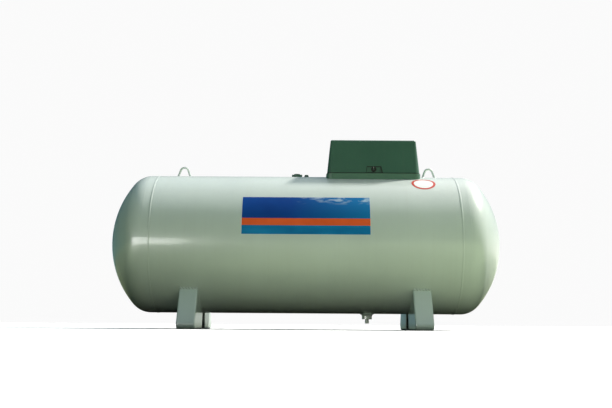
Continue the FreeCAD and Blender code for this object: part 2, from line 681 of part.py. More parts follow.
for thing in doc.Objects:
    if "Invalid" in thing.State or "Error" in thing.State:
        raise RuntimeError(f"{thing.Name} could not be made: {thing.State}")
for piece in pieces:
    if piece.Shape.isNull() or not piece.Shape.isValid() or not piece.Shape.Solids:
        raise RuntimeError(f"{piece.Label} has no valid solid")

os.makedirs("parts", exist_ok=True)
for piece in pieces:
    piece.Shape.exportStep(f"parts/{piece.Label}.step")
    print(f"{piece.Label:24s} {len(piece.Shape.Solids)} solid {piece.Shape.Volume / 1e3:12.1f} cm3")
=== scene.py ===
import math
import random

import bmesh
import bpy
from mathutils import Matrix, Vector


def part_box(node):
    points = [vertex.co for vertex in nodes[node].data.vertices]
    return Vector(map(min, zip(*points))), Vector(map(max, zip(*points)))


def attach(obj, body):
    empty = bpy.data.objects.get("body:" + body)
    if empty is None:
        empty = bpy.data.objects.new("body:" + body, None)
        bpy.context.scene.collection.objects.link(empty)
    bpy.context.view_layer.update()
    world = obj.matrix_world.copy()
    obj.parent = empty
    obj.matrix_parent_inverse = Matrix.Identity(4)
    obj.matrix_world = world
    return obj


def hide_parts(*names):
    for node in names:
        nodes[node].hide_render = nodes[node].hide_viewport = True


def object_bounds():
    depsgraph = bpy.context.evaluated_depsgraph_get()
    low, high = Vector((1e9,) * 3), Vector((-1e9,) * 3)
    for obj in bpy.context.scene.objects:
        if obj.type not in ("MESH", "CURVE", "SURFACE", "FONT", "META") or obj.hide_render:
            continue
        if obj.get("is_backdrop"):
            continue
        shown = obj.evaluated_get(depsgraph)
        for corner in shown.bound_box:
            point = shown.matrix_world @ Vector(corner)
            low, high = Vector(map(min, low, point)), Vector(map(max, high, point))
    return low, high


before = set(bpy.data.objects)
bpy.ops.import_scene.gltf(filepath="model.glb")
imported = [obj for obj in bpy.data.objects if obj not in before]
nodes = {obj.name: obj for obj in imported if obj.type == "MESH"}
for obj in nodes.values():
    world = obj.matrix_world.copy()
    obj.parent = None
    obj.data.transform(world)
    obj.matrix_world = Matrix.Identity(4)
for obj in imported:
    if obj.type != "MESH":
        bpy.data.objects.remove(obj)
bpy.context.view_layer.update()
scene = bpy.context.scene


# ---------------------------------------------------------------- studio
# A plain pale floor under a clear sky, with a fairly high sun from the right and a little
# behind.  The camera stands close to the ground in front and is tilted up a little.

lens_length = 50.3
camera_place = Vector((0.026, -6.271, 0.038))
camera_pitch, camera_yaw, camera_roll = (math.radians(a) for a in (8.0, -0.25, 0.41))

camera = bpy.data.objects.new("camera", bpy.data.cameras.new("camera"))
scene.collection.objects.link(camera)
camera.data.lens = lens_length
camera.data.sensor_width = 36
camera.matrix_world = (Matrix.Translation(camera_place)
                       @ Matrix.Rotation(-camera_yaw, 4, "Z")
                       @ Matrix.Rotation(math.pi / 2 + camera_pitch, 4, "X")
                       @ Matrix.Rotation(camera_roll, 4, "Z"))
scene.camera = camera
scene.view_settings.view_transform = "Standard"

sun_from = Vector((0.65, 0.26, 0.70))
sun_power = 5.7
sun_spread = math.radians(6)
sun = bpy.data.objects.new("sun", bpy.data.lights.new("sun", "SUN"))
scene.collection.objects.link(sun)
sun.data.energy = sun_power
sun.data.angle = sun_spread
sun.data.color = (1.0, 0.95, 0.91)
sun.rotation_mode = "QUATERNION"
sun.rotation_quaternion = sun_from.to_track_quat("Z", "Y")

# a pale wall low on the left in front is only mirrored, and the sunlit yard on the right
# only throws light back
lit_point = Vector((0, 0, 0.6))
panels = (("wall", (-3.3, -4.4, 0.55), (4.2, 0.9), 150.0, (1.0, 1.0, 0.98), False),
          ("yard", (0.55, -3.2, 0.30), (2.2, 0.8), 9.5, (1.0, 0.98, 0.90), True))
for name, place, size, power, colour, soft in panels:
    panel = bpy.data.objects.new(name, bpy.data.lights.new(name, "AREA"))
    scene.collection.objects.link(panel)
    panel.data.shape = "RECTANGLE"
    panel.data.size, panel.data.size_y = size
    panel.data.energy = power
    panel.data.color = colour
    panel.location = place
    panel.rotation_mode = "QUATERNION"
    panel.rotation_quaternion = (Vector(place) - lit_point).to_track_quat("Z", "Y")
    panel.visible_camera = False
    panel.visible_diffuse = soft
    panel.visible_glossy = not soft


def add(tree, kind, **inputs):
    """Puts a node in a tree, and sets the inputs and settings that are given by name."""
    node = tree.nodes.new("ShaderNode" + kind)
    for key, value in inputs.items():
        socket = node.inputs.get(key.replace("_", " "))
        if socket is None:
            setattr(node, key, value)
        elif hasattr(value, "is_output"):
            tree.links.new(value, socket)
        elif socket.type == "RGBA" and len(value) == 3:
            socket.default_value = (*value, 1)
        else:
            socket.default_value = value
    return node


def ramp(tree, factor, steps):
    """A colour ramp with (place, colour) steps."""
    node = add(tree, "ValToRGB", Fac=factor)
    elements = node.color_ramp.elements
    while len(elements) < len(steps):
        elements.new(0.5)
    for element, (place, colour) in zip(elements, steps):
        element.position = place
        element.color = (*colour, 1)
    return node.outputs["Color"]


sky_steps = ((0.500, (0.55, 0.57, 0.50)), (0.530, (0.42, 0.45, 0.42)),
             (0.600, (0.13, 0.165, 0.175)), (0.760, (0.16, 0.20, 0.22)),
             (0.880, (0.72, 0.72, 0.71)), (1.000, (1.60, 1.56, 1.52)))
side_steps = ((0.15, (0.06, 0.18, 0.22)), (0.45, (0.18, 0.30, 0.37)), (0.60, (1.00, 1.04, 1.04)),
              (0.85, (1.30, 1.25, 1.20)))
world = bpy.data.worlds.new("sky")
world.use_nodes = True
scene.world = world
tree = world.node_tree
tree.nodes.clear()
split = add(tree, "SeparateXYZ", Vector=add(tree, "TexCoord").outputs["Generated"])
height = add(tree, "MapRange", Value=split.outputs["Z"], From_Min=-1.0)
side = add(tree, "MapRange", Value=split.outputs["X"], From_Min=-1.0)
sky_colour = add(tree, "Mix", data_type="RGBA", blend_type="MULTIPLY")
sky_colour.inputs[0].default_value = 1
tree.links.new(ramp(tree, height.outputs[0], sky_steps), sky_colour.inputs[6])
tree.links.new(ramp(tree, side.outputs[0], side_steps), sky_colour.inputs[7])
behind = add(tree, "MapRange", Value=split.outputs["Y"], From_Min=0.05, From_Max=0.6,
             To_Min=1.0, To_Max=2.4)
light_sky = add(tree, "Background", Color=sky_colour.outputs[2], Strength=behind.outputs[0])
plain_sky = add(tree, "Background", Color=(0.96, 0.96, 0.96))
switch = add(tree, "MixShader", Fac=add(tree, "LightPath").outputs["Is Camera Ray"])
tree.links.new(light_sky.outputs[0], switch.inputs[1])
tree.links.new(plain_sky.outputs[0], switch.inputs[2])
tree.links.new(switch.outputs[0], add(tree, "OutputWorld").inputs["Surface"])


def paint(name, **inputs):
    """A material with one Principled shader that has these inputs, and its tree."""
    material = bpy.data.materials.new(name)
    material.use_nodes = True
    tree = material.node_tree
    shader = tree.nodes["Principled BSDF"]
    for key, value in inputs.items():
        socket = shader.inputs[key.replace("_", " ")]
        socket.default_value = (*value, 1) if isinstance(value, tuple) else value
    return material, tree, shader


floor_size = 80
bpy.ops.object.select_all(action="DESELECT")
bpy.ops.mesh.primitive_plane_add(size=floor_size)
floor = bpy.context.object
floor.name = "floor"
paper, tree, shader = paint("floor_paper", Base_Color=(0.9, 0.9, 0.9), Roughness=0.7)
split = add(tree, "SeparateXYZ", Vector=add(tree, "TexCoord").outputs["Object"])
# To bounced light the floor is ground, and its colour is painted light and shade: a near-black
# band under the tank paints the barrel's shadow, the ground behind is dimmer, the ground in front
# is sunlit, and across it the ground is darker to the front left, in the tank's shadow, and
# brighter to the right. The camera sees only the pale paper.
ground_with_painted_shadow = ramp(tree, add(tree, "MapRange", Value=split.outputs["Y"], From_Min=4.0,
                      From_Max=-4.0).outputs[0],
            ((0.0, (0.22, 0.27, 0.16)), (0.35, (0.16, 0.19, 0.11)), (0.45, (0.010, 0.012, 0.008)),
             (0.53, (0.010, 0.012, 0.008)), (0.63, (0.54, 0.64, 0.40)),
             (1.0, (0.58, 0.68, 0.42))))
painted_sun_and_shade_across = ramp(tree, add(tree, "MapRange", Value=split.outputs["X"], From_Min=-2.5,
                          From_Max=2.5).outputs[0],
                ((0.06, (0.70,) * 3), (0.20, (0.14,) * 3), (0.33, (0.28,) * 3),
                 (0.45, (0.76,) * 3), (0.60, (0.50,) * 3), (0.74, (0.66,) * 3),
                 (0.90, (1.20,) * 3)))
sunlit = add(tree, "HueSaturation", Color=ground_with_painted_shadow, Value=painted_sun_and_shade_across)
shaded = add(tree, "BsdfDiffuse", Color=sunlit.outputs[0])
switch = add(tree, "MixShader", Fac=add(tree, "LightPath").outputs["Is Camera Ray"])
tree.links.new(shaded.outputs[0], switch.inputs[1])
tree.links.new(shader.outputs[0], switch.inputs[2])
tree.links.new(switch.outputs[0], tree.nodes["Material Output"].inputs["Surface"])
floor.data.materials.append(paper)
floor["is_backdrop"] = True


# ---------------------------------------------------------------- barrel and heads
# The vessel is rolled and pressed from 6 mm steel plate, blasted and coated in one thick
# pale grey-green paint with a slight orange peel.  Rain has left faint runs down its sides.

tank_green = (0.56, 0.625, 0.60)
plate_green = (0.54, 0.635, 0.595)
# the tank's dust colour also serves as painted shade that dims the sunlit top of the barrel
tank_dust_and_top_shade = (0.42, 0.42, 0.36)
plate_dust = (0.45, 0.42, 0.34)
peel_depth = 0.0006


def new_group(name, ins, outs):
    """An empty node group with named inputs and outputs, and its input and output nodes."""
    group = bpy.data.node_groups.new(name, "ShaderNodeTree")
    for label, kind, value in ins:
        socket = group.interface.new_socket(label, in_out="INPUT", socket_type="NodeSocket" + kind)
        socket.default_value = (*value, 1) if kind == "Color" else value
    for label, kind in outs:
        group.interface.new_socket(label, in_out="OUTPUT", socket_type="NodeSocket" + kind)
    return group, group.nodes.new("NodeGroupInput"), group.nodes.new("NodeGroupOutput")


def grouped(tree, group, **inputs):
    """Places a node group in a tree and sets its inputs."""
    node = tree.nodes.new("ShaderNodeGroup")
    node.node_tree = group
    for key, value in inputs.items():
        socket = node.inputs[key.replace("_", " ")]
        if hasattr(value, "is_output"):
            tree.links.new(value, socket)
        else:
            socket.default_value = (*value, 1) if isinstance(value, tuple) else value
    return node


# orange peel and slow waviness of sprayed paint
sprayed, given, made = new_group(
    "sprayed_surface",
    (("Peel Scale", "Float", 160.0), ("Peel", "Float", 1.0), ("Wave", "Float", 1.0)),
    (("Height", "Float"),))
place = add(sprayed, "TexCoord").outputs["Object"]
peel = add(sprayed, "TexNoise", Vector=place, Detail=2.0)
sprayed.links.new(given.outputs["Peel Scale"], peel.inputs["Scale"])
wave = add(sprayed, "TexNoise", Vector=place, Scale=3.0, Detail=2.0)
fine = add(sprayed, "Math", operation="MULTIPLY")
sprayed.links.new(peel.outputs[0], fine.inputs[0])
sprayed.links.new(given.outputs["Peel"], fine.inputs[1])
slow = add(sprayed, "Math", operation="MULTIPLY")
sprayed.links.new(wave.outputs[0], slow.inputs[0])
sprayed.links.new(given.outputs["Wave"], slow.inputs[1])
both = add(sprayed, "Math", operation="ADD")
sprayed.links.new(fine.outputs[0], both.inputs[0])
sprayed.links.new(slow.outputs[0], both.inputs[1])
sprayed.links.new(both.outputs[0], made.inputs["Height"])

# faint patches, a dust tone on upward faces, and rain runs down the sides; the upward tone is
# partly dust and partly painted shade that dims a sunlit top
weathered_and_shaded, given, made = new_group(
    "weathered_paint_and_top_shade",
    (("Paint", "Color", (0.5, 0.5, 0.5)), ("Dust", "Color", (0.5, 0.48, 0.42)),
     ("Patches", "Float", 0.06), ("Settled", "Float", 0.15), ("Runs", "Float", 0.08),
     ("Gloss Low", "Float", 0.28), ("Gloss High", "Float", 0.42)),
    (("Color", "Color"), ("Roughness", "Float")))
place = add(weathered_and_shaded, "TexCoord").outputs["Object"]
cloud = add(weathered_and_shaded, "TexNoise", Vector=place, Scale=2.2, Detail=5.0, Roughness=0.55)
stretch = add(weathered_and_shaded, "Mapping", Vector=place, Scale=(26.0, 1.0, 0.9))
run = add(weathered_and_shaded, "TexNoise", Vector=stretch.outputs[0], Scale=1.6, Detail=4.0)
run_mask = add(weathered_and_shaded, "MapRange", Value=run.outputs[0], From_Min=0.52, From_Max=0.72)
up = add(weathered_and_shaded, "SeparateXYZ",
         Vector=add(weathered_and_shaded, "NewGeometry").outputs["Normal"])
facing_up = add(weathered_and_shaded, "MapRange", Value=up.outputs["Z"], From_Min=0.5, From_Max=1.0)
darker = add(weathered_and_shaded, "HueSaturation", Saturation=1.1)
weathered_and_shaded.links.new(given.outputs["Paint"], darker.inputs["Color"])
shade = add(weathered_and_shaded, "MapRange", Value=cloud.outputs[0], From_Min=0.3, From_Max=0.7)
lightest = add(weathered_and_shaded, "Math", operation="ADD")
weathered_and_shaded.links.new(given.outputs["Patches"], lightest.inputs[0])
lightest.inputs[1].default_value = 1.0
darkest = add(weathered_and_shaded, "Math", operation="SUBTRACT")
darkest.inputs[0].default_value = 1.0
weathered_and_shaded.links.new(given.outputs["Patches"], darkest.inputs[1])
weathered_and_shaded.links.new(lightest.outputs[0], shade.inputs["To Max"])
weathered_and_shaded.links.new(darkest.outputs[0], shade.inputs["To Min"])
weathered_and_shaded.links.new(shade.outputs[0], darker.inputs["Value"])
dust_and_top_shade = add(weathered_and_shaded, "Math", operation="MULTIPLY")
weathered_and_shaded.links.new(facing_up.outputs[0], dust_and_top_shade.inputs[0])
weathered_and_shaded.links.new(given.outputs["Settled"], dust_and_top_shade.inputs[1])
speck = add(weathered_and_shaded, "TexNoise", Vector=place, Scale=60.0, Detail=6.0, Roughness=0.7)
speckled = add(weathered_and_shaded, "Math", operation="MULTIPLY")
weathered_and_shaded.links.new(dust_and_top_shade.outputs[0], speckled.inputs[0])
weathered_and_shaded.links.new(speck.outputs[0], speckled.inputs[1])
streak = add(weathered_and_shaded, "Math", operation="MULTIPLY")
weathered_and_shaded.links.new(run_mask.outputs[0], streak.inputs[0])
weathered_and_shaded.links.new(given.outputs["Runs"], streak.inputs[1])
total = add(weathered_and_shaded, "Math", operation="ADD", use_clamp=True)
weathered_and_shaded.links.new(speckled.outputs[0], total.inputs[0])
weathered_and_shaded.links.new(streak.outputs[0], total.inputs[1])
coloured = add(weathered_and_shaded, "Mix", data_type="RGBA")
weathered_and_shaded.links.new(total.outputs[0], coloured.inputs[0])
weathered_and_shaded.links.new(darker.outputs[0], coloured.inputs[6])
weathered_and_shaded.links.new(given.outputs["Dust"], coloured.inputs[7])
weathered_and_shaded.links.new(coloured.outputs[2], made.inputs["Color"])
gloss = add(weathered_and_shaded, "MapRange", Value=cloud.outputs[0], From_Min=0.3, From_Max=0.7)
weathered_and_shaded.links.new(given.outputs["Gloss Low"], gloss.inputs["To Min"])
weathered_and_shaded.links.new(given.outputs["Gloss High"], gloss.inputs["To Max"])
duller = add(weathered_and_shaded, "Math", operation="ADD")
weathered_and_shaded.links.new(gloss.outputs[0], duller.inputs[0])
weathered_and_shaded.links.new(total.outputs[0], duller.inputs[1])
weathered_and_shaded.links.new(duller.outputs[0], made.inputs["Roughness"])

# paint rubbed thin on outer edges and corners
rubbed, given, made = new_group(
    "rubbed_edges",
    (("Color", "Color", (0.5, 0.5, 0.5)), ("Bare", "Color", (0.6, 0.6, 0.6)),
     ("Amount", "Float", 0.5), ("Width", "Float", 0.003)),
    (("Color", "Color"),))
rounded = rubbed.nodes.new("ShaderNodeBevel")
rounded.samples = 4
rubbed.links.new(given.outputs["Width"], rounded.inputs["Radius"])
flat = add(rubbed, "NewGeometry")
same = add(rubbed, "VectorMath", operation="DOT_PRODUCT")
rubbed.links.new(rounded.outputs[0], same.inputs[0])
rubbed.links.new(flat.outputs["Normal"], same.inputs[1])
edge = add(rubbed, "MapRange", Value=same.outputs["Value"], From_Min=0.98, From_Max=0.85)
chip = add(rubbed, "TexNoise", Vector=add(rubbed, "TexCoord").outputs["Object"], Scale=45.0,
           Detail=5.0)
chipped = add(rubbed, "MapRange", Value=chip.outputs[0], From_Min=0.42, From_Max=0.62)
broken = add(rubbed, "Math", operation="MULTIPLY")
rubbed.links.new(edge.outputs[0], broken.inputs[0])
rubbed.links.new(chipped.outputs[0], broken.inputs[1])
worn = add(rubbed, "Math", operation="MULTIPLY")
rubbed.links.new(broken.outputs[0], worn.inputs[0])
rubbed.links.new(given.outputs["Amount"], worn.inputs[1])
bared = add(rubbed, "Mix", data_type="RGBA")
rubbed.links.new(worn.outputs[0], bared.inputs[0])
rubbed.links.new(given.outputs["Color"], bared.inputs[6])
rubbed.links.new(given.outputs["Bare"], bared.inputs[7])
rubbed.links.new(bared.outputs[2], made.inputs["Color"])


def coating(name, colour, dust_and_shade, wear, peel=(160.0, 0.5, 4.0), coat=0.5, **weather):
    """Sprayed and weathered paint with a dust tone on upward faces that is partly painted shade,
    rubbed thin on its edges when wear isn't zero.
    """
    material, tree, shader = paint(name, Coat_Weight=coat, Coat_Roughness=0.13)
    surface = grouped(tree, sprayed, Peel_Scale=peel[0], Peel=peel[1], Wave=peel[2])
    bumped = add(tree, "Bump", Distance=peel_depth, Height=surface.outputs["Height"])
    tree.links.new(bumped.outputs[0], shader.inputs["Normal"])
    aged_and_shaded = grouped(tree, weathered_and_shaded, Paint=colour, Dust=dust_and_shade, **weather)
    tree.links.new(aged_and_shaded.outputs["Roughness"], shader.inputs["Roughness"])
    if wear:
        edges = grouped(tree, rubbed, Color=aged_and_shaded.outputs["Color"], Amount=wear,
                        Bare=tuple(min(1.0, c * 1.35 + 0.04) for c in colour))
        tree.links.new(edges.outputs["Color"], shader.inputs["Base Color"])
    else:
        tree.links.new(aged_and_shaded.outputs["Color"], shader.inputs["Base Color"])
    return material


def finish_node(name, material):
    """Gives a CAD node its material."""
    for spot in nodes[name].material_slots:
        spot.material = material


# the tank's strong dust tone on upward faces is partly dust and partly painted shade on its sunlit
# top
tank_paint = coating("tank_coating", tank_green, tank_dust_and_top_shade, 0.0, Patches=0.03,
                     Settled=0.45, Runs=0.05, Gloss_Low=0.30, Gloss_High=0.38)
plate_paint = coating("plate_coating", plate_green, plate_dust, 0.5, Patches=0.05,
                      Settled=0.20, Runs=0.06, Gloss_Low=0.34, Gloss_High=0.46)
for name in ("barrel", "left_head", "right_head"):
    finish_node(name, tank_paint)
shell_low, shell_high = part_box("barrel")
shell_radius = (shell_high.z - shell_low.z) / 2
axis_height = (shell_high.z + shell_low.z) / 2


# ---------------------------------------------------------------- girth welds
# A machine-laid bead closes each seam between the barrel and a head.  It is low, evenly
# rippled, and coated over with the vessel.

bead_width = 0.014
bead_height = 0.0016
bead_ripple = 1.0008
ripple_steps = 720


def begin(name):
    """Names the new primitive and puts its place in its mesh."""
    piece = bpy.context.object
    piece.name = name
    bpy.ops.object.transform_apply(location=True, rotation=True, scale=True)
    return piece


def alone(piece=None):
    """Selects this piece and nothing else."""
    bpy.ops.object.select_all(action="DESELECT")
    if piece:
        piece.select_set(True)
        bpy.context.view_layer.objects.active = piece


def choose(piece, wanted):
    """In edit mode, selects the points that are wanted, with the faces between them."""
    bpy.ops.mesh.select_mode(type="VERT")
    form = bmesh.from_edit_mesh(piece.data)
    for vert in form.verts:
        vert.select = bool(wanted(vert.co))
    form.select_flush_mode()
    bmesh.update_edit_mesh(piece.data)


def closed(piece, smooth=30):
    """Merges doubles, turns the faces outwards, leaves edit mode and shades the piece."""
    bpy.ops.mesh.select_all(action="SELECT")
    bpy.ops.mesh.remove_doubles(threshold=0.00001)
    bpy.ops.mesh.normals_make_consistent(inside=False)
    bpy.ops.object.mode_set(mode="OBJECT")
    if smooth:
        bpy.ops.object.shade_smooth_by_angle(angle=math.radians(smooth))
    return piece


def placed(piece, material, body="root", instead=()):
    """Finishes a piece: its material, the body it rides on, and the CAD nodes it stands in for,
    which it hides.
    """
    piece.data.materials.clear()
    piece.data.materials.append(material)
    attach(piece, body)
    if instead:
        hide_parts(*instead)
    return piece


def copied(piece, name, shift=(0, 0, 0), turn=0.0):
    """A copy with its own mesh, turned about the upright axis and then shifted."""
    twin = piece.copy()
    twin.data = piece.data.copy()
    twin.name = name
    scene.collection.objects.link(twin)
    twin.data.transform(Matrix.Translation(shift) @ Matrix.Rotation(turn, 4, "Z"))
    return twin


bead_top = (0, 0, axis_height + shell_radius)
alone()
bpy.ops.mesh.primitive_circle_add(vertices=10, radius=bead_width / 2,
                                  rotation=(math.pi / 2, 0, 0), location=bead_top)
bead = begin("bead")
bpy.ops.object.mode_set(mode="EDIT")
bpy.ops.mesh.select_all(action="SELECT")
bpy.ops.transform.resize(value=(1, 1, 2 * bead_height / bead_width), center_override=bead_top)
bpy.ops.mesh.spin(steps=ripple_steps, angle=2 * math.pi, center=(0, 0, axis_height),
                  axis=(1, 0, 0))
bpy.ops.mesh.select_all(action="SELECT")
bpy.ops.mesh.remove_doubles(threshold=0.00001)
choose(bead, lambda co: round(math.atan2(co.y, co.z - axis_height)
                              / (2 * math.pi) * ripple_steps) % 2)
bpy.ops.transform.resize(value=(1, bead_ripple, bead_ripple), center_override=(0, 0, axis_height))
closed(bead)
for side_name in ("left", "right"):
    low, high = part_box(side_name + "_girth_weld")
    twin = copied(bead, side_name + "_seam_bead", shift=((low.x + high.x) / 2, 0, 0))
    placed(twin, tank_paint, instead=(side_name + "_girth_weld",))
bpy.data.objects.remove(bead)


# ---------------------------------------------------------------- feet
# Four feet folded from 8 mm plate, each with a sole drilled for an anchor.  The top edge is
# tacked to the barrel by hand in short blobs, and the flanges carry a thin fillet.

blob_size = Vector((0.0092, 0.0075, 0.0085))
blob_count = 6
blob_growth = (0.88, 1.06)
blob_drift_along, blob_drift_up = 0.001, 0.0006
fillet_size = 0.0045
dice = random.Random(7)


def merged(pieces, name):
    """Joins pieces into the first one."""
    alone(pieces[0])
    for piece in pieces:
        piece.select_set(True)
    bpy.ops.object.join()
    piece = bpy.context.object
    piece.name = name
    return piece


alone()
bpy.ops.mesh.primitive_uv_sphere_add(segments=16, ring_count=10, radius=1, scale=blob_size)
blob = begin("blob")
bpy.ops.object.mode_set(mode="EDIT")
choose(blob, lambda co: co.x > 0.3 * blob_size.x)
bpy.ops.transform.resize(value=(1, 0.8, 0.75))
closed(blob, 60)

for row, facing in (("front", -1), ("rear", 1)):
    for side_name in ("left", "right"):
        foot = f"{row}_{side_name}_foot"
        finish_node(foot, plate_paint)
        low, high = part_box(foot)
        weld_low, weld_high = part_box(foot + "_weld")
        top_y = (weld_low.y + weld_high.y) / 2
        top_z = (weld_low.z + weld_high.z) / 2
        slope = math.atan2(axis_height - top_z, abs(top_y))
        tacks = []
        pitch = (high.x - low.x) / blob_count
        for step in range(blob_count):
            grown = dice.uniform(*blob_growth)
            twin = copied(blob, "tack")
            twin.data.transform(
                Matrix.Translation((low.x + (step + 0.5) * pitch
                                    + dice.uniform(-blob_drift_along, blob_drift_along),
                                    top_y, top_z + dice.uniform(-blob_drift_up, blob_drift_up)))
                @ Matrix.Rotation(-facing * slope, 4, "X")
                @ Matrix.Scale(grown, 4))
            tacks.append(twin)
        inner = math.acos(min(abs(low.y), abs(high.y)) / shell_radius)
        alone()
        bpy.ops.mesh.primitive_circle_add(
            vertices=8, radius=fillet_size, rotation=(math.pi / 2, 0, 0),
            location=(0, 0, axis_height - shell_radius))
        fillet = begin("fillet")
        fillet.data.transform(Matrix.Translation((0, 0, axis_height))
                              @ Matrix.Rotation(facing * (math.pi / 2 - inner), 4, "X")
                              @ Matrix.Translation((0, 0, -axis_height)))
        bpy.ops.object.mode_set(mode="EDIT")
        bpy.ops.mesh.select_all(action="SELECT")
        bpy.ops.mesh.edge_face_add()
        bpy.ops.mesh.spin(steps=36, angle=-facing * (inner - slope),
                          center=(0, 0, axis_height), axis=(1, 0, 0))
        closed(fillet, 50)
        tacks += [copied(fillet, "fillet", shift=(edge_x, 0, 0)) for edge_x in (low.x, high.x)]
        bpy.data.objects.remove(fillet)
        placed(merged(tacks, foot + "_tacks"), tank_paint,
               instead=(foot + "_weld",))
bpy.data.objects.remove(blob)


# ---------------------------------------------------------------- lifting loops
# Each loop is a 16 mm round bar bent to an arch.  Its two legs stand on the barrel's top in
# thick hand-laid fillets, painted over with the vessel.

collar_points = 20
collar_low = 0.0145
collar_high = 0.0088
collar_rise = 0.011
collar_sunk = 0.002
collar_edge = 0.0012

alone()
bpy.ops.mesh.primitive_cone_add(
    vertices=collar_points, radius1=collar_low, radius2=collar_high, depth=collar_rise,
    location=(0, 0, shell_high.z + collar_rise / 2 - collar_sunk))
collar = begin("collar")
bpy.ops.object.mode_set(mode="EDIT")
choose(collar, lambda co: co.z < shell_high.z and round(
    math.atan2(co.y, co.x) / (2 * math.pi) * collar_points) % 2)
bpy.ops.transform.resize(value=(0.9, 0.9, 1), center_override=(0, 0, shell_high.z))
bpy.ops.mesh.select_all(action="SELECT")
bpy.ops.mesh.bevel(offset=collar_edge, segments=2)
closed(collar, 60)

for side_name in ("left", "right"):
    loop = side_name + "_lifting_lug"
    finish_node(loop, tank_paint)
    low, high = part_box(loop)
    bar = high.y - low.y
    collars = [copied(collar, "collar", shift=(leg, 0, 0))
               for leg in (low.x + bar / 2, high.x - bar / 2)]
    placed(merged(collars, side_name + "_loop_welds"), tank_paint)
bpy.data.objects.remove(collar)


# ---------------------------------------------------------------- drain
# A half coupling is welded under the barrel and closed by a square-headed plug.  The root
# weld is a ring of blobs, and the plug's thread shows in the gap.

# the drain's boss and plug are painted far lighter than the rest of the vessel: painted light,
# standing in for the light they lack in the barrel's shade
drain_lightened_green = (0.74, 0.82, 0.74)
root_bar = 0.0048
root_points = 96
root_pinch = 0.985
thread_radius, thread_bar = 0.0122, 0.0011
thread_pitch = 0.0023
thread_turns = 3

low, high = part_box("drain_boss")
drain_x = (low.x + high.x) / 2
thread_top = low.z - 0.0012
alone()
bpy.ops.mesh.primitive_torus_add(
    major_segments=root_points, minor_segments=10, major_radius=(high.x - low.x) / 2,
    minor_radius=root_bar, location=(drain_x, 0, shell_low.z - 0.0005))
root = begin("drain_root_weld")
bpy.ops.object.mode_set(mode="EDIT")
choose(root, lambda co: round(math.atan2(co.y, co.x - drain_x)
                              / (2 * math.pi) * root_points) % 4 == 0)
bpy.ops.transform.resize(value=(root_pinch, root_pinch, 1),
                         center_override=(drain_x, 0, shell_low.z))
closed(root, 70)
placed(root, plate_paint)

# two tones that drift into each other in grains, and a gloss that follows them
grained, given, made = new_group(
    "grained_surface",
    (("Place", "Vector", (0, 0, 0)), ("Scale", "Float", 100.0), ("Detail", "Float", 2.0),
     ("Dark", "Color", (0.4, 0.4, 0.4)), ("Light", "Color", (0.6, 0.6, 0.6)),
     ("Low", "Float", 0.3), ("High", "Float", 0.7),
     ("Gloss Low", "Float", 0.4), ("Gloss High", "Float", 0.6)),
    (("Color", "Color"), ("Roughness", "Float")))
grain = add(grained, "TexNoise")
grained.links.new(given.outputs["Place"], grain.inputs["Vector"])
grained.links.new(given.outputs["Scale"], grain.inputs["Scale"])
grained.links.new(given.outputs["Detail"], grain.inputs["Detail"])
share = add(grained, "MapRange", Value=grain.outputs[0])
grained.links.new(given.outputs["Low"], share.inputs["From Min"])
grained.links.new(given.outputs["High"], share.inputs["From Max"])
toned = add(grained, "Mix", data_type="RGBA")
grained.links.new(share.outputs[0], toned.inputs[0])
grained.links.new(given.outputs["Dark"], toned.inputs[6])
grained.links.new(given.outputs["Light"], toned.inputs[7])
grained.links.new(toned.outputs[2], made.inputs["Color"])
dulled = add(grained, "MapRange", Value=grain.outputs[0])
grained.links.new(given.outputs["Gloss Low"], dulled.inputs["To Min"])
grained.links.new(given.outputs["Gloss High"], dulled.inputs["To Max"])
grained.links.new(dulled.outputs[0], made.inputs["Roughness"])


def grained_finish(name, dark, light, scale, gloss=None, detail=2.0, spread=(0.3, 0.7), **inputs):
    """A material in two grained tones; gloss is its least and greatest roughness."""
    material, tree, shader = paint(name, **inputs)
    surface = grouped(tree, grained, Place=add(tree, "TexCoord").outputs["Object"], Scale=scale,
                      Detail=detail, Dark=dark, Light=light, Low=spread[0], High=spread[1])
    tree.links.new(surface.outputs["Color"], shader.inputs["Base Color"])
    if gloss:
        surface.inputs["Gloss Low"].default_value = gloss[0]
        surface.inputs["Gloss High"].default_value = gloss[1]
        tree.links.new(surface.outputs["Roughness"], shader.inputs["Roughness"])
    return material


steel_paint = grained_finish("plated_steel", (0.42, 0.43, 0.41), (0.62, 0.63, 0.60), 180.0,
                             gloss=(0.28, 0.5), detail=4.0, Metallic=1.0)
# painted light: a much lighter green for the drain, which sits in the barrel's shade
drain_lightened_paint = coating("drain_lightened_coating", drain_lightened_green, plate_dust, 0.6, coat=1.0, Patches=0.05,
                     Settled=0.0, Runs=0.0, Gloss_Low=0.20, Gloss_High=0.30)
for name in ("drain_boss", "drain_plug"):
    finish_node(name, drain_lightened_paint)
alone()
bpy.ops.mesh.primitive_torus_add(
    major_segments=48, minor_segments=6, major_radius=thread_radius, minor_radius=thread_bar,
    location=(drain_x, 0, thread_top))
thread = begin("thread")
threads = [thread] + [copied(thread, "thread", shift=(0, 0, -turn * thread_pitch))
                      for turn in range(1, thread_turns)]
placed(merged(threads, "drain_thread"), steel_paint)


# ---------------------------------------------------------------- fittings beside the hood
# A blind flange held by six hexagon bolts and a small vent plug stand on the barrel's top.
# Both are painted dark green like the hood.

hood_green = (0.038, 0.108, 0.073)
hood_dust = (0.16, 0.17, 0.14)
hood_peel = (220.0, 0.6, 2.0)
bolt_across = 0.0115
bolt_height = 0.0058
washer_size = 0.68
washer_depth = 0.0014

hood_paint = coating("hood_coating", hood_green, hood_dust, 0.35, peel=hood_peel,
                     Patches=0.08, Settled=0.10, Runs=0.03, Gloss_Low=0.36, Gloss_High=0.48)
for name in ("spare_boss", "spare_plug", "vent_boss", "vent_plug"):
    finish_node(name, hood_paint)


